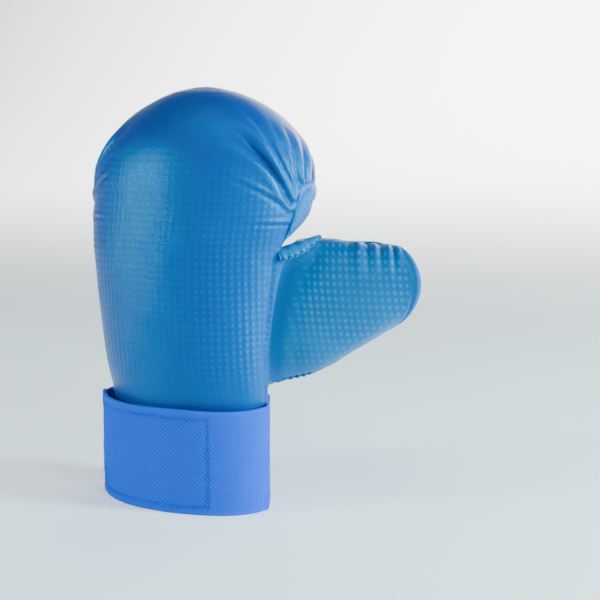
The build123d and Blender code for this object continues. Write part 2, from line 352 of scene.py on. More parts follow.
def ring_tube(name, path, normals, radius, flat, sides):
    """A cord along a closed path, flattened along its normals to the share flat."""
    way = unit(np.roll(path, -1, 0) - np.roll(path, 1, 0))
    side = unit(np.cross(way, normals))
    up = unit(np.cross(side, way))
    turn = np.linspace(0, 2 * math.pi, sides, endpoint=False)
    ring = side[:, None] * np.cos(turn)[None, :, None] + up[:, None] * flat * np.sin(turn)[None, :, None]
    points = path[:, None] + ring * radius[:, None, None]
    pattern = np.zeros(points.shape)
    pattern[..., 0] = run_along(path)[:, None]
    pattern[..., 1] = turn * radius.mean()
    return make_mesh(name, points, grid_faces(len(points), sides, True, True), pattern)


def resample(path, step):
    """A path's points, evenly spaced at about the given step and half a step from its ends."""
    along = run_along(path)
    count = max(2, int(along[-1] / step))
    places = (np.arange(count) + 0.5) * along[-1] / count
    return np.stack([np.interp(places, along, path[:, k]) for k in range(path.shape[1])], -1)


STITCH_LIFT = 0.05
# Place along a stitch, and its radius there.
STITCH_SHAPE = [(-0.5, 0.1), (-0.42, 0.75), (-0.2, 1.0), (0.2, 1.0), (0.42, 0.75), (0.5, 0.1)]


def stitches(name, path, normals, length, gap, radius):
    """A row of short thread stitches lying on a surface along a path."""
    both = resample(np.concatenate([path, normals], 1), length + gap)
    places, up = both[:, :3], unit(both[:, 3:])
    way = unit(np.gradient(places, axis=0))
    turn = np.linspace(0, 2 * math.pi, 6, endpoint=False)[:, None]
    points, faces = [], []
    for place, n, w in zip(places, up, way):
        ring = np.cross(w, n) * np.cos(turn) + n * np.sin(turn)
        faces.append(grid_faces(len(STITCH_SHAPE), 6, False, True, len(points) * 6))
        for s, r in STITCH_SHAPE:
            sink = (abs(s) * 2) ** 2 * radius * 0.9
            centre = place + w * s * length + n * (STITCH_LIFT + radius * 0.5 - sink)
            points.append(centre + ring * r * radius)
    return make_mesh(name, np.concatenate(points), np.concatenate(faces), weld=False)


# ---------------------------------------------------------------- materials
def material(name, colour, light, dark, rough, grain, grain_size, weave=None, gloss=0.4, sheen=0.0,
             tone_mix=0.5, fleck=0.25):
    """A procedural material. Its place is the pattern attribute, in millimetres, so it bends with the mesh.

    The base colour runs from dark to light with the tone attribute and a broad fleck, and colour is mixed
    into it. On several pieces the tone holds painted highlights and painted shade: bump tops, ridges and
    edges are lighter, and gaps, valleys and the thumb's root are darker. This sits beside real weave, rib and
    fuzz pattern, and the broad fleck is random unevenness. grain is the fine bump's strength; weave is the
    two thread pitches and their bump's strength."""
    mat = bpy.data.materials.new(name)
    mat.use_nodes = True
    tree = mat.node_tree
    tree.nodes.clear()

    def node(kind, inputs, **settings):
        """A new node. Each input is a value, or an output that it is linked to."""
        made = tree.nodes.new("ShaderNode" + kind)
        for key, value in settings.items():
            setattr(made, key, value)
        for key, value in inputs.items():
            if isinstance(value, bpy.types.NodeSocket):
                tree.links.new(value, made.inputs[key])
            else:
                made.inputs[key].default_value = value
        return made

    def calc(operation, *values, clamp=False):
        return node("Math", dict(enumerate(values)), operation=operation, use_clamp=clamp).outputs[0]

    def mix(factor, first, second):
        return node("Mix", {"Factor": factor, "A": first, "B": second}, data_type="RGBA").outputs["Result"]

    place = node("Attribute", {}, attribute_name="pattern").outputs["Vector"]
    tone = node("Attribute", {}, attribute_name="tone").outputs["Fac"]
    fine = node("TexNoise", {"Vector": place, "Scale": 1 / grain_size, "Detail": 4}).outputs["Fac"]
    broad = node("TexNoise", {"Vector": place, "Scale": 1 / 17, "Detail": 3}).outputs["Fac"]
    even = calc("SUBTRACT", calc("MULTIPLY_ADD", tone, tone_mix, 0.5), fleck / 2)
    shade = mix(calc("MULTIPLY_ADD", broad, fleck, even, clamp=True), (*dark, 1), (*light, 1))
    bump = node("Bump", {"Strength": grain, "Distance": 0.0003, "Height": fine}).outputs[0]
    if weave:
        split = node("SeparateXYZ", {0: place})
        threads = [calc("SINE", calc("MULTIPLY", split.outputs[axis], 2 * math.pi / weave[axis]))
                   for axis in (0, 1)]
        height = calc("MAXIMUM", *threads)
        woven = {"Strength": weave[2], "Distance": 0.0004, "Height": height, "Normal": bump}
        bump = node("Bump", woven).outputs[0]
    spread = {"Value": fine, "To Min": rough - 0.09, "To Max": rough + 0.11}
    uneven = node("MapRange", spread).outputs["Result"]
    shader = node("BsdfPrincipled", {
        "Base Color": mix(0.45, shade, (*colour, 1)),
        "Roughness": uneven,
        "Specular IOR Level": gloss,
        "Specular Tint": (0.0, 0.75, 1.0, 1),
        "Sheen Weight": sheen,
        "Sheen Tint": (0.1, 0.5, 1.0, 1),
        "Sheen Roughness": 0.4,
        "Normal": bump,
    })
    node("OutputMaterial", {0: shader.outputs[0]})
    return mat


COVER = material("embossed_leather", (0, 0.030, 0.19), (0, 0.082, 0.31), (0, 0.012, 0.115), 0.29, 0.9, 0.6,
                 gloss=0.6, tone_mix=0.6)
# A lighter, more cyan copy of the cover's leather, painted brighter because the thumb faces the light; its
# dark end is deep for the painted shade at the root.
LIT_THUMB_LEATHER = material("lit_thumb_leather", (0, 0.075, 0.26), (0, 0.20, 0.42), (0, 0.012, 0.09), 0.33, 0.9,
                         0.6, gloss=0.55, tone_mix=0.75)
GUSSET = material("gusset_leather", (0, 0.060, 0.28), (0, 0.17, 0.42), (0, 0.020, 0.14), 0.40, 0.6, 0.6,
                  gloss=0.3, tone_mix=0.8)
LEATHER = material("smooth_leather", (0, 0.045, 0.23), (0, 0.08, 0.32), (0, 0.025, 0.16), 0.34, 0.5, 0.7,
                   gloss=0.6)
WEBBING = material("elastic_webbing", (0, 0.055, 0.46), (0, 0.10, 0.68), (0, 0.020, 0.26), 0.80, 0.5, 0.35,
                   gloss=0.25, sheen=0.06, tone_mix=0.8, fleck=0.12)
ELASTIC = material("plain_elastic", (0, 0.040, 0.46), (0, 0.060, 0.58), (0, 0.022, 0.32), 0.72, 0.5, 0.4,
                   weave=(1.1, 1.6, 0.5), gloss=0.3, sheen=0.06, tone_mix=0.4)
LINING = material("lining_cloth", (0, 0.022, 0.13), (0.004, 0.035, 0.19), (0, 0.010, 0.07), 0.82, 0.6, 0.4,
                  weave=(0.8, 0.8, 0.5), sheen=0.2)
FOAM = material("foam_padding", (0.003, 0.035, 0.19), (0.006, 0.05, 0.24), (0, 0.02, 0.12), 0.88, 0.8, 0.7,
                sheen=0.15)
PILE = material("loop_pile", (0.004, 0.09, 0.45), (0.02, 0.15, 0.55), (0, 0.04, 0.30), 0.92, 1.0, 0.5,
                sheen=0.6, tone_mix=0.6)
HOOK = material("hook_tape", (0.004, 0.08, 0.42), (0.02, 0.14, 0.52), (0, 0.03, 0.26), 0.55, 0.6, 0.5,
                tone_mix=0.7)
BINDING = material("binding_tape", (0, 0.09, 0.34), (0, 0.14, 0.42), (0, 0.05, 0.24), 0.55, 0.5, 0.5,
                   weave=(0.9, 0.9, 0.4), sheen=0.2)
THREAD = material("thread", (0.002, 0.06, 0.36), (0.01, 0.09, 0.45), (0, 0.03, 0.24), 0.55, 0.5, 0.3)
DARK_THREAD = material("dark_thread", (0, 0.012, 0.09), (0, 0.025, 0.15), (0, 0.005, 0.05), 0.5, 0.5, 0.3)


def put(piece, mat, slot, *nodes, body=None, bend=None):
    """Give a piece its material and hide the CAD nodes that it stands for; with a bend, its place is baked
    into its mesh, otherwise it is hung on a body. slot is not used.
    """
    piece.data.materials.append(mat)
    if nodes:
        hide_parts(*nodes)
    if bend:
        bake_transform(piece)
    else:
        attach(piece, body)
    return piece


# ---------------------------------------------------------------- back cover
def curve_on_form(points, count=90):
    """A smooth line through (phi, z) points, on the mitt's surface."""
    share, fine = np.linspace(0, 1, len(points)), np.linspace(0, 1, count)
    degree = min(3, len(points) - 1)
    phi, z = (np.polyval(np.polyfit(share, [p[c] for p in points], degree), fine) for c in (0, 1))
    return on(FORM, phi, z)


def near(points, line):
    """Distance to a line, share along it, and height above it, for each point within reach."""
    flat = points.reshape(-1, 3)
    distance, share, above = np.full(len(flat), 99.0), np.zeros(len(flat)), np.zeros(len(flat))
    reach = 16
    close = np.where(((flat > line.min(0) - reach) & (flat < line.max(0) + reach)).all(1))[0]
    for chunk in np.array_split(close, max(1, len(close) // 4000)):
        gaps = np.linalg.norm(flat[chunk, None] - line[None], axis=-1)
        best = gaps.argmin(1)
        distance[chunk], share[chunk] = gaps.min(1), best / (len(line) - 1)
        above[chunk] = flat[chunk, 2] - line[best, 2]
    return (grid.reshape(points.shape[:-1]) for grid in (distance, share, above))


# Pleats gathered at the hood's side seam: points (phi, z), depth, width at the seam and at the far end.
PLEATS = [
    ([(-19, 159), (-39, 183), (-48, 192), (-58, 196)], 2.6, 1.9, 6.5),
    ([(-17, 164), (-28, 183), (-31, 196), (-39, 204)], 2.1, 1.5, 4.5),
    ([(-15, 166), (-21, 182), (-21, 192), (-19, 199)], 1.9, 1.5, 4.0),
    ([(-12, 167), (-15, 178), (-12, 189), (-6, 196)], 1.6, 1.4, 3.6),
    ([(-6, 168.5), (-4, 178), (3, 187), (9, 192)], 1.5, 1.4, 3.6),
    ([(3, 168.8), (9, 176), (17, 183), (25, 187)], 1.2, 1.4, 3.4),
]
# Thin creases: points (phi, z), height.
CREASES = [
    ([(-18, 156), (-35, 164.5), (-51, 171.5), (-67, 178)], 0.85),
    ([(-17, 149.5), (-40, 150.6), (-62, 152)], 0.55),
    ([(-18, 161), (-33, 172), (-44, 180), (-54, 184)], 0.5),
]


def pleating(points):
    """Height of the pleats and creases, a little shorter and shallower on the little finger's side."""
    height = np.zeros(points.shape[:-1])
    for at_thumb, deep in ((True, 1), (False, 0.75)):
        def placed(line):
            return curve_on_form(line if at_thumb else [(-180 - phi * 0.93, z) for phi, z in line])

        for line, depth, narrow, wide in PLEATS:
            distance, share, _ = near(points, placed(line))
            width = narrow + (wide - narrow) * share
            size = depth * deep * (1 - share) ** 0.8 * np.clip((share + 0.08) * 6, 0.35, 1)
            size *= 1 - 0.15 * np.cos(share * 9)
            ridge = 0.55 * hill(distance, 1.7 * width, 0.8 * width)
            height += size * (ridge - hill(distance, 0, 0.55 * width))
        for line, rise in CREASES:
            distance, share, above = near(points, placed(line))
            fade = np.sin(np.clip(share * 1.1 + 0.12, 0, 1) * math.pi) ** 0.7
            crease = hill(above, 0, 0.9) - 0.9 * hill(above, -1.9, 1.0)
            height += rise * fade * hill(distance, 0, 4) * crease
    return height


def cover_relief(points, s, z, from_seam):
    """Height and tone of the cover: embossing, pleats, rolled edges and broad unevenness. Its tone is painted
    light: bumps and pleat ridges are painted lighter as highlights, and gaps and pleat valleys darker as
    shade.
    """
    grid = dots(s, z, 3.5, 3.5)
    # The embossing is worn flat at the knuckles, over the middle of the back and beside the strap.
    strength = np.interp(z, [0, 58, 74, 170, 188, 200], [0, 0.1, 1, 1, 0.25, 0.0])
    strength = strength * (0.75 + 0.25 * noise(points, 50, 3)) * np.clip((from_seam - 2.4) / 3.0, 0, 1)
    strength = strength * np.interp(np.abs(s + 4), [0, 14, 34, 66, 82], [0.55, 0.65, 1, 1, 0.35])
    pleats = pleating(points)
    strength = strength * np.clip(1 - np.abs(pleats) * 0.45, 0.2, 1)
    low_seam = np.interp(z, [0, 60, 132, 142], [1, 1, 1, 0])
    roll = 0.6 * hill(from_seam, 1.2, 1.2) - 0.12 * hill(from_seam, 3.2, 0.7)
    pucker = 0.2 * wave(z, 3.2) * hill(from_seam, 1.4, 1.2)
    broad = 0.5 * noise(points, 60, 11) + 0.1 * noise(points, 22, 12)
    height = 0.34 * grid * strength + pleats + (roll + pucker) * low_seam + broad
    # Painted highlight and shade: bump tops and pleat ridges lighter, the gaps and valleys darker.
    return height, np.clip((1.0 * grid - 0.2) * strength + 0.35 * pleats, -1, 1)


# Below the hood's seam the cover reaches from side seam to side seam.
back_columns, palm_columns = 196, 250
z_rows = np.linspace(6, SEAM_TOP, 206)
thumb_edge = angle_at(FORM, seam_y(z_rows), z_rows)
little_edge = -180 - thumb_edge
phi = little_edge + (thumb_edge - little_edge) * np.linspace(0, 1, back_columns)[:, None]
z = np.broadcast_to(z_rows, phi.shape)
base, normal = on(FORM, phi, z), form_normals(phi, z)
arc = run_along(base)
s = arc - arc[back_columns // 2]
edge_gap = np.minimum(arc, arc[-1] - arc)
height, tone = cover_relief(base, s, z, edge_gap)
cover_back = base + normal * height[..., None]
back_pattern, back_tone = pattern_of(s, z), tone

# Above it are full rings, closer together towards the top.
top_angle = float(angle_at(FORM, SEAM_Y[-1], SEAM_TOP))
side_line = on(FORM, np.full(400, -90.0), np.linspace(SEAM_TOP, TOP, 400))
run = run_along(side_line)
z_dome = np.interp(np.linspace(0, run[-1], 92), run, side_line[:, 2])
phi_ring = np.concatenate([phi[:, -1], np.linspace(top_angle, 180 - top_angle, palm_columns)[1:-1]])
phi, z = np.meshgrid(phi_ring, z_dome, indexing="ij")
base, dome_normal = on(FORM, phi, z), form_normals(phi, z)
arc = run_along(base)
s = arc - arc[back_columns // 2]
gap = 4 + (z - SEAM_TOP)
gap[:back_columns] = edge_gap[:, -1:] + (z[:back_columns] - SEAM_TOP)
height, tone = cover_relief(base, s, z, gap)
height[back_columns:] += 0.5 * hill(z[back_columns:] - SEAM_TOP, 1.6, 1.4)
cover_dome = base + dome_normal * height[..., None]
cover_dome[:back_columns, 0] = cover_back[:, -1]

# Rings that close it at the very top.
closing_shares = (0.66, 0.33, 0.0)
ring = cover_dome[:, -1]
top_centre = ring.mean(0) + np.array([0, 0, 0.45])
closing = [top_centre + (ring - top_centre) * k + np.array([0, 0, 0.25 * (1 - k * k)])
           for k in closing_shares]
cover_dome = np.concatenate([cover_dome, np.stack(closing, 1)], 1)
s = np.concatenate([s] + [s[:, -1:] * k for k in closing_shares], 1)
z = np.concatenate([z] + [z[:, -1:] + k for k in (0.5, 1, 1.5)], 1)
dome_tone = np.concatenate([tone] + [tone[:, -1:]] * 3, 1)

# The lower part's edges, and the dome's edge on the palm side, are turned under.
rimmed, rim_normals = turn_in(cover_back, normal)
bottom, _ = turn_in(np.swapaxes(rimmed, 0, 1), np.swapaxes(rim_normals, 0, 1), both=False)


def grown(grid):
    """The lower part's pattern or tone, with the turned rows added."""
    return np.swapaxes(pad_ends(np.swapaxes(pad_ends(grid, 6, 6), 0, 1), 6, 0), 0, 1)


def palm_edge(grid):
    """The dome's two lowest rows on the palm side."""
    return np.swapaxes(np.concatenate([grid[back_columns - 1:, :2], grid[:1, :2]]), 0, 1)


under, _ = turn_in(palm_edge(cover_dome), palm_edge(dome_normal), both=False)
under = np.swapaxes(under[:7], 0, 1)
parts = [  # points, pattern, tone, whether it goes all the way round
    (np.swapaxes(bottom, 0, 1), grown(back_pattern), grown(back_tone), False),
    (cover_dome, pattern_of(s, z), dome_tone, True),
    (under, np.zeros(under.shape), np.zeros(under.shape[:2]), False),
]
starts = np.cumsum([0] + [points.shape[0] * points.shape[1] for points, *_ in parts])
faces = [grid_faces(*points.shape[:2], wrap, False, start)
         for (points, _, _, wrap), start in zip(parts, starts)]
points, pattern, tone = (np.concatenate([part[k].reshape(shape) for part in parts])
                         for k, shape in ((0, (-1, 3)), (1, (-1, 3)), (2, -1)))
cover = make_mesh("back_cover_leather", points, np.concatenate(faces), pattern, tone)
put(cover, COVER, "embossed_leather", "back_cover", bend=HOOD_BEND)


# ---------------------------------------------------------------- stitches along the cover's side seams
def beside_seam(z, gap, side):
    """Points and normals of the cover at a gap behind its side seam, at the thumb (1) or opposite (-1)."""
    phi = angle_at(FORM, seam_y(z), z)
    phi = phi - gap / np.linalg.norm(on(FORM, phi + 0.5, z) - on(FORM, phi - 0.5, z), axis=-1)
    phi = phi if side == 1 else -180 - phi
    return on(FORM, phi, z), form_normals(phi, z)


for word, side in (("thumb", 1), ("little", -1)):
    line, n = beside_seam(np.linspace(57, SEAM_Z[3], 120), 1.0, side)
    thread = stitches(f"seam_stitches_{word}", line + n * 0.62, n, 1.9, 1.3, 0.24)
    put(thread, THREAD, "embossed_leather", bend=HOOD_BEND)


# ---------------------------------------------------------------- hood's side gussets
GUSSET_TOP = 167.6
GUSSET_TIP = (-1.0, 138.0)  # y and z of its lowest corner
GUSSET_PALM = (34.0, 157.4)  # y and z of its corner at the facing
GUSSET_BACK_Y = 5.4
STRIP_LINE = [(-2.4, 137), (-0.8, 146), (1.6, 154), (5.5, 161.5), (12, 166.4), (22, 168.4), (36, 168.6)]
STRIP_WIDTH = 9.6


def fill_in(u, v, left, right, high, low, corners):
    """A coordinate between its values on four edges. corners: its values at (0,0), (1,0), (0,1), (1,1)."""
    shares = ((1 - u) * (1 - v), u * (1 - v), (1 - u) * v, u * v)
    ruled = (1 - u) * left + u * right + (1 - v) * high + v * low
    return ruled - sum(share * corner for share, corner in zip(shares, corners))


def gusset(word, side):
    """The lens of leather between the cover's seam and the facing, with a rolled strip along the seam."""
    u, v = square(100, 66)
    left_z = GUSSET_TOP - (GUSSET_TOP - GUSSET_TIP[1]) * v
    right_z = GUSSET_TOP - (GUSSET_TOP - GUSSET_PALM[1]) * v**1.1
    low_z = GUSSET_TIP[1] + (GUSSET_PALM[1] - GUSSET_TIP[1]) * u**0.72
    low_y = GUSSET_TIP[0] + (GUSSET_PALM[0] - GUSSET_TIP[0]) * u
    high_y = GUSSET_BACK_Y + (GUSSET_PALM[0] - GUSSET_BACK_Y) * u
    y = fill_in(u, v, seam_y(left_z) + 0.4, GUSSET_PALM[0], high_y, low_y,
                (GUSSET_BACK_Y, GUSSET_PALM[0], GUSSET_TIP[0], GUSSET_PALM[0]))
    z = fill_in(u, v, left_z, right_z, GUSSET_TOP, low_z,
                (GUSSET_TOP, GUSSET_TOP, GUSSET_TIP[1], GUSSET_PALM[1]))
    half_x, half_y, mid_x, mid_y = ovals(FORM, z)
    x = mid_x + side * half_x * np.sqrt(np.clip(1 - ((y - mid_y) / half_y) ** 2, 0, 1))
    p = np.stack([x, y, z], -1)
    n = form_normals(np.degrees(np.arctan2((y - mid_y) / half_y, (x - mid_x) / half_x)), z)

    # Gap to the strip's line, and place along it. Depth counts for more, as the side curves away.
    stretch = np.array([1.15, 1])
    fine, coarse = np.linspace(0, 1, 120), np.linspace(0, 1, len(STRIP_LINE))
    line = np.stack([np.interp(fine, coarse, column) for column in zip(*STRIP_LINE)], -1) * stretch
    gaps = np.linalg.norm((p[..., 1:] * stretch)[:, :, None] - line[None, None], axis=-1)
    gap, along = gaps.min(-1), gaps.argmin(-1) / 2.2
    strip = np.sin(np.clip(gap / STRIP_WIDTH, 0, 1) * math.pi) ** 0.6
    strip = strip * np.interp(along, [0, 8, 40, 54], [0.2, 1, 1, 0.2])
    emboss = dots(gap + 0.5 * along, along, 2.6, 3.0) * strip
    bulge = np.sin(np.clip((gap - 5) / 24, 0, 1) * math.pi)
    bulge = bulge * np.interp(along, [0, 12, 34, 50], [0, 1, 1, 0.2])
    rim = np.minimum.reduce([v * 26, (1 - v) * 20, (1 - u) * 26])
    flush = np.clip(rim / 5, 0, 1) ** 0.6
    height = (1.9 * strip + 0.32 * emboss + (0.8 if side == 1 else 0.4) * bulge) * flush + 0.15
    # Painted highlights: the embossed bumps and the rolled strip beside the seam are painted lighter, against
    # a darker rest of the lens.
    tone = np.clip(0.8 * emboss + 0.6 * strip * hill(gap, 0, 6) - 0.35, -1, 1)
    outer, inner = p + n * height[..., None], p - n * LEATHER_INSIDE
    if side == -1:
        outer, inner, tone = outer[::-1], inner[::-1], tone[::-1]
    piece = sheet_body(f"hood_gusset_{word}_leather", outer, inner, pattern_of(gap, along), tone)
    put(piece, GUSSET, "smooth_leather", f"hood_gusset_{word}", bend=HOOD_BEND)


gusset("thumb", 1)
gusset("little", -1)

# ---------------------------------------------------------------- hood's facing along its palm edge
FACING_TOP = 167.6
FACING_X = (-60, -40, 0, 40, 60)
FACING_EDGE = (160.5, 157.5, 154, 157.5, 160.5)  # z of its lower edge at those x
FACING_HEM = (163.0, 160.0, 156.6, 160.0, 163.0)  # and of the stitches above it
FACING_JOIN = 2.2  # half width of the short join in its middle


def facing_z(phi, heights):
    return np.interp(np.cos(np.radians(phi)) * 60, FACING_X, heights)


start_angle = float(angle_at(FORM, 34.4, 164.0))
u, v = square(200, 34)
phi = start_angle - 3 + (186 - 2 * start_angle) * u
low_z = facing_z(phi, FACING_EDGE)
z = low_z + (FACING_TOP - low_z) * v
p, n = on(FORM, phi, z), form_normals(phi, z)
x = p[..., 0]
relief = 0.45 * hill(z - low_z, 1.7, 1.2) - 0.35 * hill(FACING_TOP - z, 1.6, 0.7)
relief += 0.3 * noise(p, 26, 41) - 0.3 * (hill(x, FACING_JOIN, 0.5) + hill(x, -FACING_JOIN, 0.5))
facing = sheet_body("hood_facing_leather", p + n * (relief + 0.05)[..., None], p - n * LEATHER_INSIDE,
                    pattern_of(x, z))
put(facing, LEATHER, "smooth_leather", "hood_facing", body="hood")


def hood_stitches(name, phi, z, lift, length, gap):
    line, n = on(FORM, phi, z), form_normals(phi, z)
    put(stitches(name, line + n * lift, n, length, gap, 0.25), THREAD, "smooth_leather", body="hood")


z = np.linspace(155.0, 167.0, 30)
hood_stitches("facing_stitches_left", np.full(30, 90 - np.degrees(-FACING_JOIN / 60)), z, -0.2, 2.0, 1.0)
hood_stitches("facing_stitches_right", np.full(30, 90 - np.degrees(FACING_JOIN / 60)), z, -0.2, 2.0, 1.0)
phi = np.linspace(start_angle, 180 - start_angle, 200)
hood_stitches("hood_seam_stitches", phi, np.full(200, 169.9), 0.1, 2.4, 1.2)
hood_stitches("facing_hem_stitches", phi, facing_z(phi, FACING_HEM), 0.1, 2.4, 1.2)


# ---------------------------------------------------------------- hand's side and heel panels
def fold_top(y):
    """Highest z of the hand's panels at a y: the V groove under the hood."""
    return FOLD_Z - (y - PIVOT_Y) * math.tan(math.radians(15))


def palm_edge_angle(z, side, x):
    """Angle, from the panel's own side, at which the mitt's surface is at x from the middle."""
    half_x, _, mid_x, _ = ovals(FORM, z)
    return np.degrees(np.arccos(np.clip((x - side * mid_x) / half_x, -1, 1)))


def cut_thumb_hole(mesh):
    """Take the faces out of a side panel where the thumb goes in."""
    work = bmesh.new()
    work.from_mesh(mesh)
    c, s = math.cos(THUMB_LEAN), math.sin(THUMB_LEAN)
    half_width, half_height, mid_z = THUMB_WAY_IN
    doomed = []
    for face in work.faces:
        x, y, z = face.calc_center_median() * 1000
        x, y = x - THUMB_BASE[0], y - THUMB_BASE[1]
        along, across = x * c + y * s, y * c - x * s
        if -8 < along < 20 and (across / half_width) ** 2 + ((z - mid_z) / half_height) ** 2 < 1:
            doomed.append(face)
    bmesh.ops.delete(work, geom=doomed, context="FACES")
    work.to_mesh(mesh)
    work.free()


def side_panel(word, side):
    u, v = square(96, 120)
    z = HEEL[0] + (138.0 - HEEL[0]) * v
    for _ in range(6):
        first = angle_at(FORM, seam_y(z) + 0.5, z)
        last = palm_edge_angle(z, side, PALM_HALF)
        phi = first + (last - first) * u
        y = on(FORM, phi, z)[..., 1]
        z = HEEL[0] + (fold_top(y) - 0.3 - HEEL[0]) * v
    phi = phi if side == 1 else 180 - phi
    p, n = on(FORM, phi, z), form_normals(phi, z)
    from_palm = (1 - u) * (last - first) * np.pi / 180 * 42
    relief = 0.6 * hill(from_palm, 1.8, 1.3) - 0.35 * hill(from_palm, 3.9, 0.6)
    relief += 0.5 * hill(fold_top(p[..., 1]) - z, 1.8, 1.3)
    relief += 0.5 * noise(p, 34, 50 + side) + 0.12 * noise(p, 9, 60 + side)
    grids = p + n * (relief - 0.15)[..., None], p - n * PANEL_INSIDE, pattern_of(from_palm, z)
    piece = sheet_body(f"side_panel_{word}_leather", *(grid[::side] for grid in grids))
    if side == 1:
        cut_thumb_hole(piece.data)
    put(piece, LEATHER, "smooth_leather", f"side_panel_{word}", body="hand")
    z = np.linspace(60, 116, 90)
    phi = palm_edge_angle(z, side, PALM_HALF + 3.9)
    phi = phi if side == 1 else 180 - phi
    line, n = on(FORM, phi, z), form_normals(phi, z)
    thread = stitches(f"palm_edge_stitches_{word}", line - n * 0.3, n, 2.4, 1.2, 0.25)
    put(thread, THREAD, "smooth_leather", body="hand")


side_panel("thumb", 1)
side_panel("little", -1)

u, v = square(60, 44)
z = HEEL[0] + (HEEL[1] - HEEL[0]) * v
low, high = (palm_edge_angle(z, 1, x) for x in (HEEL_HALF, -HEEL_HALF))
phi = low + (high - low) * u
p, n = on(FORM, phi, z), form_normals(phi, z)
relief = 0.5 * hill(HEEL[1] - z, 1.8, 1.3) - 0.3 * hill(HEEL[1] - z, 4.0, 0.6) + 0.35 * noise(p, 18, 70)
heel = sheet_body("heel_leather", p + n * (relief - 0.35)[..., None], p - n * PANEL_INSIDE,
                  pattern_of(p[..., 0], z))
put(heel, LEATHER, "smooth_leather", "heel_panel", body="hand")

# ---------------------------------------------------------------- elastic bands
PALM_BAND = (84, 134)  # z of its edges
PALM_BAND_HALF = 31.6
FINGER_BAND_HALF = 47.2
RIB = 0.16

u, v = square(84, 120)
z = PALM_BAND[0] + (PALM_BAND[1] - PALM_BAND[0]) * v
low, high = (ovals(FORM, np.array(float(k)))[:, None, None] for k in PALM_BAND)
half_x, half_y, mid_x, mid_y = low + (high - np.array([0, 3.0, 0, 0])[:, None, None] - low) * v
x = PALM_BAND_HALF * (1 - 2 * u)
y = mid_y + (half_y - 2.5) * np.sqrt(1 - ((x - mid_x) / (half_x - 2.5)) ** 2)
p = np.stack([x, y, z], -1)
n = grid_normals(p)
ribs = RIB * wave(v * 50, 2.1)
bow = 0.5 * hill(z, PALM_BAND[1], 5) + 0.35 * noise(p, 40, 80)
palm_band = sheet_body("palm_band_elastic", p + n * (ribs + bow - 0.5)[..., None],
                       p - n * (1.7 - ribs)[..., None], pattern_of(x, z), ribs * 3)
put(palm_band, ELASTIC, "elastic_webbing", "palm_band", body="hand")

u, v = square(120, 46)
x = FINGER_BAND_HALF * (1 - 2 * u)
sag = (x / 53) ** 2
low_z, high_z = 132.2 + 16 * sag, 149.8 + 14 * sag
z = low_z + (high_z - low_z) * v + 0.5 * np.sin(x * 0.21) * v
p = np.stack([x, 31.9 - 10.5 * sag, z], -1)
n = grid_normals(p)
ribs = RIB * wave(v * 17, 1.9)
loose = 0.5 * np.sin(x * 0.33 + 1.0) * v**2
finger_band = sheet_body("finger_band_elastic", p + n * (0.75 + ribs + loose)[..., None],
                         p - n * (0.75 - loose)[..., None], pattern_of(x, z), ribs * 3)
put(finger_band, ELASTIC, "elastic_webbing", "finger_band", body="hood")


# ---------------------------------------------------------------- linings and padding
def lower_face(y):
    """Height of the hood's lower face at a y: flat over the knuckles, then a ramp up to the palm side."""
    flat = KNUCKLE_Z + (np.minimum(y, 6.0) - PIVOT_Y) * math.tan(math.radians(3))
    ramp = flat + (155 - flat) * (y - 6) / 20
    return np.where(y <= 6, flat, np.where(y <= 26, ramp, np.interp(y, [26, 34], [155, 159])))


def dome_grid(table, inset, top, lift):
    """Grid of a table's surface from the hood's lower face to its top, shut at the top."""
    phi = np.linspace(-180, 180, 150, endpoint=False)[:, None] + np.zeros(60)
    share = np.linspace(0, 1, 60)[None] + np.zeros(150)[:, None]
    low = np.full(phi.shape, 150.0)
    for _ in range(8):
        x, y, _ = np.moveaxis(on(table, phi, low, inset), -1, 0)
        # The thumb's side is cut higher, so that the padding clears the thumb's root when the hood curls.
        low = lower_face(y) + lift + 4.0 * ease((x - 26) / 14) * ease((y + 16) / 12) * ease((34 - y) / 8)
    z = low + (top - low) * np.sin(share * math.pi / 2) ** 0.9
    p = on(table, phi, np.minimum(z, top), inset)
    crown = np.clip((share - 0.93) / 0.07, 0, 1)[..., None]
    p = p + (p[:, -1].mean(0) - p) * crown * [1, 1, 0] + np.array([0, 0, 0.6]) * crown * (2 - crown)
    p[:, -1] = p[:, -1].mean(0)
    return p, phi, share


def creased(grid, height):
    """The grid moved sideways by a height at each point."""
    return grid + height[..., None] * [1, 1, 0]


outer, phi, share = dome_grid(FORM, 1.8, 213.0, 1.7)
inner, _, _ = dome_grid(CAVITY, 0.0, 193.0, 1.7)
inner = creased(inner, 0.25 * noise(inner, 12, 90))
padding = sheet_body("hood_padding", outer, inner, pattern_of(phi, share * 60),
                     wrap=True, rim=9, bulge=0.16, dome=True)
put(padding, FOAM, "foam_padding", "hood_foam", body="hood")

outer, phi, share = dome_grid(CAVITY, 0.25, 192.6, -0.6)
inner, _, _ = dome_grid(CAVITY, 1.2, 191.6, -0.6)
inner = creased(inner, 0.35 * noise(inner, 10, 91) * (1 - share) ** 0.3)
hood_cloth = sheet_body("hood_lining_cloth", outer, inner, pattern_of(phi * 0.8, share * 60),
                        wrap=True, dome=True)
put(hood_cloth, LINING, "lining_cloth", "hood_lining", body="hood")


def hand_grid(table, inset, count, edge):
    """Back half of a table's surface, from the cuff up to the groove under the knuckles."""
    low_z, top_drop = 8.4, 1.4
    u, v = square(count, count)
    z = low_z + 120 * v
    for _ in range(8):
        last = angle_at(table, seam_y(z) - edge, z, inset)
        phi = -180 - last + (2 * last + 180) * u
        z = low_z + (fold_top(on(table, phi, z, inset)[..., 1]) - top_drop - low_z) * v
    return on(table, phi, z, inset), u, v


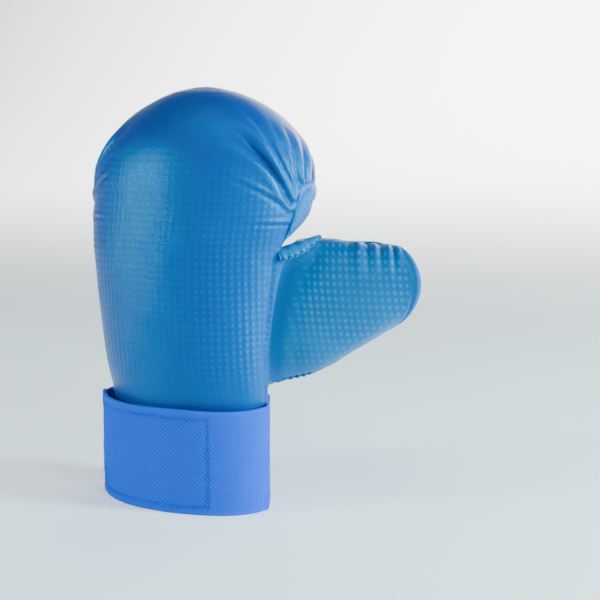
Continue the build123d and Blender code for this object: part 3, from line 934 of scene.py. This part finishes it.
outer, u, v = hand_grid(FORM, 1.9, 90, 0.6)
inner, _, _ = hand_grid(CAVITY, -0.1, 90, 0.6)
inner = creased(inner, 0.3 * noise(inner, 12, 92))
padding = sheet_body("hand_padding", outer, inner, pattern_of(u * 120, v * 120), rim=7, bulge=0.1)
put(padding, FOAM, "foam_padding", "hand_foam", body="hand")

outer, u, v = hand_grid(CAVITY, 0.25, 120, 0.2)
inner, _, _ = hand_grid(CAVITY, 1.2, 120, 0.2)
inner = creased(inner, 0.3 * noise(inner, 11, 93))
hand_cloth = sheet_body("hand_lining_cloth", outer, inner, pattern_of(u * 110, v * 120))
put(hand_cloth, LINING, "lining_cloth", "hand_lining", body="hand")

# ---------------------------------------------------------------- thumb
WRINKLES = [  # t and angle at the top, t and angle at the bottom, height, width
    (42.0, 96, 46.0, 178, 1.0, 2.3),
    (50.0, 96, 53.0, 166, 0.9, 1.6),
    (57.0, 96, 60.5, 174, 0.95, 1.7),
    (62.0, 96, 65.5, 166, 0.8, 1.3),
]
BOTTOM_SEAM = 5.6  # from the thumb's bottom edge to the stitches along it
PUCKER_PITCH = 3.4


def seam_point(a):
    """Where the thumb's leather at angle a is sewn in, just under the cover's side seam."""
    z = 99.5 + 36.0 * np.sin(np.radians(a))
    return on(FORM, angle_at(FORM, seam_y(z) - 1.8, z), z, 0.4)


def pull_to_seam(p, t, a, start):
    """Pull the first millimetres of the thumb's back to the cover's seam, outside the mitt's surface."""
    pull = ease((a - 90) / 16) * ease((270 - a) / 10)
    out = (t - start) / 15
    share = ((1 - ease(out)) * pull)[..., None]
    p = p * (1 - share) + seam_point(a) * share
    half_x, half_y, mid_x, mid_y = ovals(FORM, p[..., 2])
    away = np.hypot((p[..., 0] - mid_x) / half_x, (p[..., 1] - mid_y) / half_y)
    needed = 1 + np.interp(out, [0, 0.1, 0.3], [-0.4, 0.4, 0.9]) / half_x
    grow = np.where((out < 1.2) & (pull > 0), np.maximum(1, needed / away), 1.0)
    grow = 1 + (grow - 1) * pull * (1 - ease((out - 0.9) / 0.3))
    p[..., 0], p[..., 1] = mid_x + (p[..., 0] - mid_x) * grow, mid_y + (p[..., 1] - mid_y) * grow
    return p


def thumb_half(name, node, slot, mat, first, last, relief_of, to_seam=False):
    """One half of the thumb's leather, between two angles, from the root to the mouth's binding."""
    a = np.linspace(first, last, 124)[:, None] + np.zeros(124)
    start = root_t(a[:, 0], 0.0, 0.6)[:, None] - 0.3
    end = mouth_t(a[:, 0], 0.0, 1.6)[:, None]
    t = start + (end - start) * np.linspace(0, 1, 124)
    straight = thumb_at(t, a)
    p = pull_to_seam(straight, t, a, start) if to_seam else straight
    n = -grid_normals(p)
    n = n * np.sign((n * (p - thumb_at(t, a, 5.0))).sum(-1).mean())
    around = run_along(straight)
    height, tone = relief_of(t, a, around, p, start, end)
    outer = p + n * height[..., None]
    piece = sheet_body(name, outer, p - n * LEATHER_INSIDE, pattern_of(t, around), tone, rim=3)
    put(piece, mat, slot, *node, bend=THUMB_BEND)
    return outer, n


def back_relief(t, a, around, p, start, end):
    from_mouth, from_root, from_bottom = end - t, t - start, around[-1:] - around
    grid = dots(t + 0.12 * p[..., 2], p[..., 2], 3.3, 3.7)
    strength = ease((from_bottom - 6) / 12) * ease((around - 2) / 6) * ease(from_mouth / 6)
    strength *= ease((from_root - 7) / 12) * (0.75 + 0.25 * noise(p, 24, 101))
    height = 0.32 * grid * strength + 0.4 * noise(p, 34, 102)
    for t0, a0, t1, a1, rise, width in WRINKLES:
        share = np.clip((a - a0) / (a1 - a0), -0.2, 1.2)
        away = (t - t0 - (t1 - t0) * share - 0.4 * np.sin(share * 4)) / width
        fade = ease(1.25 * (1 - share)) * ease((a - 88) / 12)
        height += rise * fade * (hill(away, 0, 1) - 0.35 * hill(np.abs(away), 1.9, 1))
    # Puckered seam under the root, and the roll at the mouth.
    sewn = ease((27 - from_root) / 7)
    height += 0.4 * hill(from_bottom, 2.6, 2.2) - 0.5 * sewn * hill(from_bottom, BOTTOM_SEAM, 0.9)
    height += 0.36 * sewn * wave(t, PUCKER_PITCH) * hill(from_bottom, 2.8, 2.0)
    height += 0.3 * hill(from_mouth, 2.2, 1.4)
    # Painted shade: the leather is painted darker for 15 mm from the root, where the seam's shadow falls; the
    # embossed bumps are painted lighter as highlights.
    shade = -2.0 * (1 - ease(from_root / 15))
    return height * ease(from_root / 4), np.clip((1.1 * grid - 0.25) * strength + shade, -1, 1)


def palm_relief(t, a, around, p, start, end):
    from_seam, from_mouth = np.minimum(around, around[-1:] - around), end - t
    height = 0.6 * noise(p, 20, 111) + 0.15 * noise(p, 8, 112) - 0.3
    height += 0.45 * hill(from_seam, 1.6, 1.4) - 0.35 * hill(from_seam, 3.8, 0.6)
    height += 0.35 * np.sin(t * 0.62 + a * 0.02) * hill(a, 30, 40) * np.clip(from_mouth / 20, 0, 1)
    height += 0.3 * hill(from_mouth, 2.2, 1.4)
    height -= 1.6 * ease((a - 55) / 30) * (1 - ease((t - start) / 12))
    return height, 0.0


back_face, back_n = thumb_half("thumb_back_leather", ("thumb_back_cover", "thumb_base_gusset"),
                               "embossed_leather", LIT_THUMB_LEATHER, 90, 270, back_relief, to_seam=True)
thumb_half("thumb_palm_leather", ("thumb_palm_cover",), "smooth_leather", LEATHER, -89.2, 89.2, palm_relief)

# Rolled strip that closes the top of the thumb's root, with notches along its stitched lower edge.
WEB_ENDS = np.array([53.6, -2.6, 132.6]), np.array([67.8, 18.6, 141.0])
k = np.linspace(0, 1, 150)
middle_line = WEB_ENDS[0] + (WEB_ENDS[1] - WEB_ENDS[0]) * k[:, None]
middle_line += np.array([0.6, -1.8, -1.0]) * np.sin(k * math.pi)[:, None]
way = unit(np.gradient(middle_line, axis=0))
across = unit(np.cross([0.2, -0.77, 0.61], way))
across = across * np.sign(across[:, 2:])
outward = unit(np.cross(way, across))
outward = outward * np.sign(-outward[:, 1:2])
s = k * np.linalg.norm(WEB_ENDS[1] - WEB_ENDS[0])
half_width = np.interp(k, [0, 0.1, 0.3, 0.55, 0.8, 0.95, 1], [3.9, 4.1, 4.4, 4.0, 2.6, 1.5, 0.7])
half_thick = np.interp(k, [0, 0.1, 0.6, 0.9, 1], [1.5, 1.9, 1.9, 1.2, 0.6])
turn = np.linspace(0, 2 * math.pi, 28, endpoint=False)
notch = ((0.5 + 0.5 * np.cos(2 * math.pi * (s - 1.2) / PUCKER_PITCH)) ** 3)[:, None]
notch = notch * np.clip(0.1 - np.sin(turn), 0, 1) ** 2
width = half_width[:, None] * (1 - 0.12 * notch)
thick = half_thick[:, None] * (1 - 0.25 * notch + 0.1 * np.sin(s * 0.9)[:, None])
ring = middle_line[:, None] + across[:, None] * (width * np.sin(turn))[..., None]
ring += outward[:, None] * (thick * np.cos(turn))[..., None]
tips = [np.repeat(middle_line[k, None, None], 28, 1) for k in (0, -1)]
ring = np.concatenate([tips[0], ring, tips[1]])
pattern = np.stack(np.broadcast_arrays(pad_ends(s, 1, 1)[:, None], turn * 2.5, 0.0), -1)
web = make_mesh("thumb_web_strip", ring, grid_faces(*ring.shape[:2], False, True), pattern)
put(web, LIT_THUMB_LEATHER, "embossed_leather", bend=THUMB_BEND)
low_line = middle_line - across * (half_width * 0.86)[:, None] + outward * (half_thick * 0.45)[:, None]
thread = stitches("web_stitches", low_line, unit(outward - across * 0.6), 2.3, 1.1, 0.34)
put(thread, DARK_THREAD, "smooth_leather", bend=THUMB_BEND)

# Stitches along the first part of the thumb's bottom seam.
around = run_along(back_face)
line, n = (np.array([[np.interp(around[-1, j] - BOTTOM_SEAM, around[:, j], grid[:, j, c]) for c in range(3)]
                     for j in range(5, 44)]) for grid in (back_face, back_n))
thread = stitches("thumb_seam_stitches", line, unit(n), 2.1, 1.2, 0.36)
put(thread, DARK_THREAD, "smooth_leather", bend=THUMB_BEND)

# Binding round the mouth.
a = np.linspace(0, 360, 160, endpoint=False)
t = mouth_t(a, 0.0, 0.9)
n = unit(thumb_at(t, a) - thumb_at(t, a, 5.0))
radius = 1.75 + 0.06 * np.sin(np.radians(a) * 34)
binding = ring_tube("thumb_binding", thumb_at(t, a, 1.0), n, radius, 0.9, 16)
put(binding, BINDING, "binding_tape", "thumb_mouth_binding", body="thumb")

# Lining down the inside of the thumb.
a = np.linspace(0, 360, 120, endpoint=False)[:, None] + np.zeros(90)
mouth = mouth_t(a[:, 0], 2.0, 0.9)[:, None]
deepest = np.maximum(root_t(a[:, 0], 6.5, 0.5)[:, None] - 1.0, -4.0)
t = mouth + (deepest - mouth) * np.linspace(0, 1, 90)
depth = mouth - t
inset = 2.2 + 3.9 * np.clip(depth / 12, 0, 1) ** 0.7
folds = 0.45 * noise(thumb_at(t, a), 13, 130) * np.clip(depth / 6, 0, 1)
folds += 0.35 * np.sin(np.radians(a * 7 + depth * 4)) * np.clip(depth / 8, 0, 1)
outer, inner = thumb_at(t, a, inset), thumb_at(t, a, inset + 0.9 + np.clip(folds, -0.4, 0.8))
thumb_cloth = sheet_body("thumb_lining_cloth", outer, inner, pattern_of(a * 0.3, depth), wrap=True)
put(thumb_cloth, LINING, "lining_cloth", "thumb_lining", body="thumb")

# Padding between the back's leather and the lining.
a = (94 + 172 * np.linspace(0, 1, 60))[:, None] + np.zeros(60)
start = np.maximum(root_t(a[:, 0], 2.0, -8.3)[:, None], 4.0)
end = mouth_t(a[:, 0], 2.0, 3.6)[:, None]
t = start + (end - start) * np.linspace(0, 1, 60)
thickness = 3.6 * np.clip((end - t) / 9, 0.25, 1)
padding = sheet_body("thumb_padding", thumb_at(t, a, 1.75), thumb_at(t, a, 1.75 + thickness),
                     pattern_of(t, a * 0.4), bulge=0.35)
put(padding, FOAM, "foam_padding", "thumb_foam", body="thumb")

# ---------------------------------------------------------------- wrist strap
FOLD_TURN = -11.0  # the strap's fold, in degrees round the cuff
FOLD_WAY = (0.9086, 0.4176)  # outward direction of the flat stretch behind the fold
FOLD_REACH = 43.2
SEWN_S, SEWN_Z = (14.0, 85.0), (4.0, 50.0)  # the sewn rectangle's sides
FLARE = 1.9  # how far the strap's free end stands off


def cuff_at(turn, z, inset=0.0, power=2.18):
    """Points of the closed strap's outer face at angles turn in degrees."""
    c, s = np.cos(np.radians(turn)), np.sin(np.radians(turn))
    scale = (np.abs(c) ** power + np.abs(s) ** power) ** (-1 / power)
    x, y = (CUFF[0] - inset) * c * scale, (CUFF[1] - inset) * s * scale
    # The palm side folds back flat behind the fold instead of bowing out.
    over = x * FOLD_WAY[0] + y * FOLD_WAY[1] - (FOLD_REACH - inset)
    behind = (x > 0) & (np.cos(np.radians(turn - FOLD_TURN + 90)) < 0)
    over = np.where(behind, np.logaddexp(0, over / 0.5) * 0.5, 0)
    return np.stack(np.broadcast_arrays(x - over * FOLD_WAY[0], y - over * FOLD_WAY[1], z), -1)


def cuff_normals(turn, z, inset=0.0, power=2.18):
    return unit(cuff_at(turn, z, inset - 1.0, power) - cuff_at(turn, z, inset, power))


def strap_run(first, last, step, inset=0.0):
    """Angles that are evenly spaced along the strap, and their distances along it."""
    turn = np.linspace(first, last, 900)
    run = run_along(cuff_at(turn, 0.0, inset))
    along = np.linspace(0, run[-1], int(run[-1] / step))
    return np.interp(along, run, turn), along


# Free length over the back: twill on the sewn part, straight cords towards the fold.
turn, along = strap_run(-171.5, FOLD_TURN, 0.42)
s, z = np.meshgrid(along, np.linspace(0, 1, 130) * CUFF_TOP, indexing="ij")
n = cuff_normals(turn[:, None], z)
twill = wave(z * 0.76 - s * 0.65, 1.5)
knit = 0.8 * wave(s, 1.5) + 0.45 * wave(z, 1.3)
share = np.clip((s - 92) / 14, 0, 1) * 0.8
selvage = hill(np.minimum(z, CUFF_TOP - z), 0, 2.0)
cloth = (twill * (1 - share) + knit * share) * (1 - selvage) + wave(s, 1.2) * selvage * 0.8
past_sides = 99 * ((z < SEWN_Z[0] - 1) | (z > SEWN_Z[1] + 1.5))
past_ends = 99 * ((s < SEWN_S[0]) | (s > SEWN_S[1]))
line_gap = np.minimum.reduce([np.abs(s - k) + past_sides for k in SEWN_S]
                             + [np.abs(z - k) + past_ends for k in SEWN_Z])
height = 0.11 * cloth - 0.42 * hill(line_gap, 0, 0.8) + 0.35 * hill(s, 2.0, 2.0) + 0.22 * selvage - 0.25
p = cuff_at(turn[:, None], z)
height += 0.30 * noise(p, 34, 140) + 0.12 * noise(p, 9, 141)
flare = n * (FLARE * np.clip(1 - s / 13, 0, 1) ** 2)[..., None]
p = p + n * height[..., None] + flare
share = np.linspace(0, 1, 130)
p[..., 2] += 1.05 * np.sin(s * 0.11 + 0.6) * np.clip(share - 0.8, 0, 1)
p[..., 2] = np.clip(p[..., 2], 0.0, None)
back_face = cuff_at(turn[:, None], z, 2.0) + flare
back_face[..., 2] = p[..., 2]
whole = slice(2, -2)
# Painted highlight: the edge bands are painted lighter in the tone, where the strap's rounded edges catch the
# light; the twill and cords are the webbing's own pattern.
strap = sheet_body("strap_flap_webbing", p[:, whole], back_face[:, whole], pattern_of(s, z)[:, whole],
                   (0.5 * cloth + 0.25 * selvage)[:, whole], rim=4)
put(strap, WEBBING, "elastic_webbing", "strap_flap", bend=FOLD_BEND)

corners = [(SEWN_S[i], SEWN_Z[j]) for i, j in ((0, 0), (1, 0), (1, 1), (0, 1), (0, 0))]
path = np.concatenate([np.linspace(first, last, 90) for first, last in zip(corners, corners[1:])])
path[:, 0] += 0.25 * np.sin(path[:, 1] * 0.8)
turns = np.interp(path[:, 0], along, turn)
n = cuff_normals(turns, path[:, 1])
strap_thread = stitches("strap_stitches", cuff_at(turns, path[:, 1]) - n * 0.45, n, 1.9, 0.9, 0.26)
put(strap_thread, THREAD, "elastic_webbing", body="strap")

# Length round the palm side, plain and finely ribbed.
turn, along = strap_run(FOLD_TURN, 188.5, 0.75)
s, z = np.meshgrid(along, np.linspace(0.55, CUFF_TOP - 0.55, 84), indexing="ij")
p, n = cuff_at(turn[:, None], z), cuff_normals(turn[:, None], z)
selvage = hill(np.minimum(z, CUFF_TOP - z), 0, 2.0)
height = 0.1 * wave(s, 2.4) + 0.2 * noise(p, 30, 150) + 0.2 * selvage - 0.25
# Painted highlight: the edge bands are painted lighter in the tone, as on the flap.
wrist = sheet_body("wrist_strap_elastic", p + n * height[..., None], cuff_at(turn[:, None], z, 2.0),
                   pattern_of(s, z), 0.3 * wave(s, 2.4) + 0.2 * selvage, rim=4)
put(wrist, ELASTIC, "elastic_webbing", "wrist_strap", body="hand")


def patch(name, node, slot, mat, body, ends, inset, thick, heights, rough, seed):
    """A tape or pad between two angles round the cuff, with a rough face."""
    turns, run = strap_run(*ends, 0.8, inset)
    s, z = np.meshgrid(run, np.linspace(*heights, 56), indexing="ij")
    fuzz = rough * np.random.default_rng(seed).uniform(-1, 0.6, s.shape)
    fuzz[:2], fuzz[-2:], fuzz[:, :2], fuzz[:, -2:] = 0, 0, 0, 0
    face = cuff_at(turns[:, None], z, inset, 2.0)
    face = face + cuff_normals(turns[:, None], z, inset, 2.0) * (fuzz - 0.1)[..., None]
    back = cuff_at(turns[:, None], z, inset + thick, 2.0)
    put(sheet_body(name, face, back, pattern_of(s, z), fuzz * 2, rim=3), mat, slot, node, body=body)


# Hook and loop tapes under the free length, and the pad that sews the strap down.
patch("hook_patch_tape", "hook_patch", "hook_tape", HOOK, "strap",
      (-157, -78), 2.2, 1.0, (4.4, 49.6), 0.16, 5)
patch("loop_patch_pile", "loop_patch", "loop_pile", PILE, "hand",
      (-156, -64), 3.45, 1.1, (6.9, 48.1), 0.2, 6)
patch("strap_anchor_pad", "strap_anchor", "smooth_leather", LEATHER, "hand",
      (164, 186), 2.4, 1.9, (4.5, 49.5), 0.03, 7)

# ---------------------------------------------------------------- studio
COOL = (0.5, 0.88, 1.0)
LIGHTS = [  # name, place, target, size, power, spread in degrees, colour
    ("light_left", (-0.80, -0.72, 0.33), (0, 0, 0.13), (0.16, 0.16), 14, 180, COOL),
    ("light_right", (1.12, 0.16, 0.36), (0.03, 0, 0.13), (0.25, 0.6), 44, 180, COOL),
    ("light_right_front", (1.02, -0.52, 0.60), (0.03, 0, 0.13), (0.22, 0.5), 9, 180, COOL),
    ("light_top", (0.0, -0.55, 1.3), (0, 0, 0.1), (0.8, 0.6), 6, 180, (1, 1, 1)),
    ("light_front", (0.35, -1.3, 0.5), (0, 0, 0.1), (1.2, 0.8), 1.5, 180, (1, 1, 1)),
    ("light_floor", (0.3, 1.0, 2.6), (0.0, 3.2, 0.3), (4.0, 2.0), 260, 80, (1, 1, 1)),
]
CAMERA_PLACE, CAMERA_TARGET, CAMERA_LENS = (0.3175, -0.5499, 0.2095), (0.0558, 0.0195, 0.1069), 73.5
FLOOR_NEAR, FLOOR_FAR, FLOOR_HALF = -7, 2.2, 8  # y of the floor's ends, and half its width, in metres
CURVE_RADIUS, BACKDROP_TOP = 1.5, 5


def stand(name, data, place, target):
    """A light or camera at a place, pointed at a target."""
    thing = bpy.data.objects.new(name, data)
    thing.location = place
    thing.rotation_euler = (Vector(target) - thing.location).to_track_quat("-Z", "Y").to_euler()
    bpy.context.scene.collection.objects.link(thing)
    return thing


for name, place, target, size, power, spread, colour in LIGHTS:
    light = bpy.data.lights.new(name, "AREA")
    light.shape, light.size, light.size_y = "RECTANGLE", size[0], size[1]
    light.energy, light.spread, light.color = power, math.radians(spread), colour
    stand(name, light, place, target)

world = bpy.data.worlds.new("studio")
world.use_nodes = True
world.node_tree.nodes["Background"].inputs[0].default_value = (0.9, 0.95, 1.0, 1)
world.node_tree.nodes["Background"].inputs[1].default_value = 0.07
bpy.context.scene.world = world

# Floor that curves up into a plain backdrop.
turns = np.radians(range(6, 91, 6))
profile = [(FLOOR_NEAR, 0), (FLOOR_FAR, 0)]
profile += [(FLOOR_FAR + CURVE_RADIUS * math.sin(k), CURVE_RADIUS * (1 - math.cos(k))) for k in turns]
profile += [(FLOOR_FAR + CURVE_RADIUS, BACKDROP_TOP)]
points = [(x * 1000, y * 1000, z * 1000) for y, z in profile for x in (-FLOOR_HALF, FLOOR_HALF)]
faces = [(2 * k, 2 * k + 1, 2 * k + 3, 2 * k + 2) for k in range(len(profile) - 1)]
floor = make_mesh("floor", points, faces, weld=False)
floor_mat = bpy.data.materials.new("floor")
floor_mat.use_nodes = True
floor_inputs = floor_mat.node_tree.nodes["Principled BSDF"].inputs
floor_inputs["Base Color"].default_value = (0.92, 0.92, 0.92, 1)
floor_inputs["Roughness"].default_value = 0.9
floor_inputs["Emission Color"].default_value = (1, 1, 1, 1)
floor_inputs["Emission Strength"].default_value = 0.2
floor.data.materials.append(floor_mat)
floor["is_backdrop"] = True

camera_data = bpy.data.cameras.new("camera")
camera_data.lens, camera_data.sensor_width = CAMERA_LENS, 36
camera_data.dof.use_dof = False
bpy.context.scene.camera = stand("camera", camera_data, CAMERA_PLACE, CAMERA_TARGET)

low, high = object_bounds()
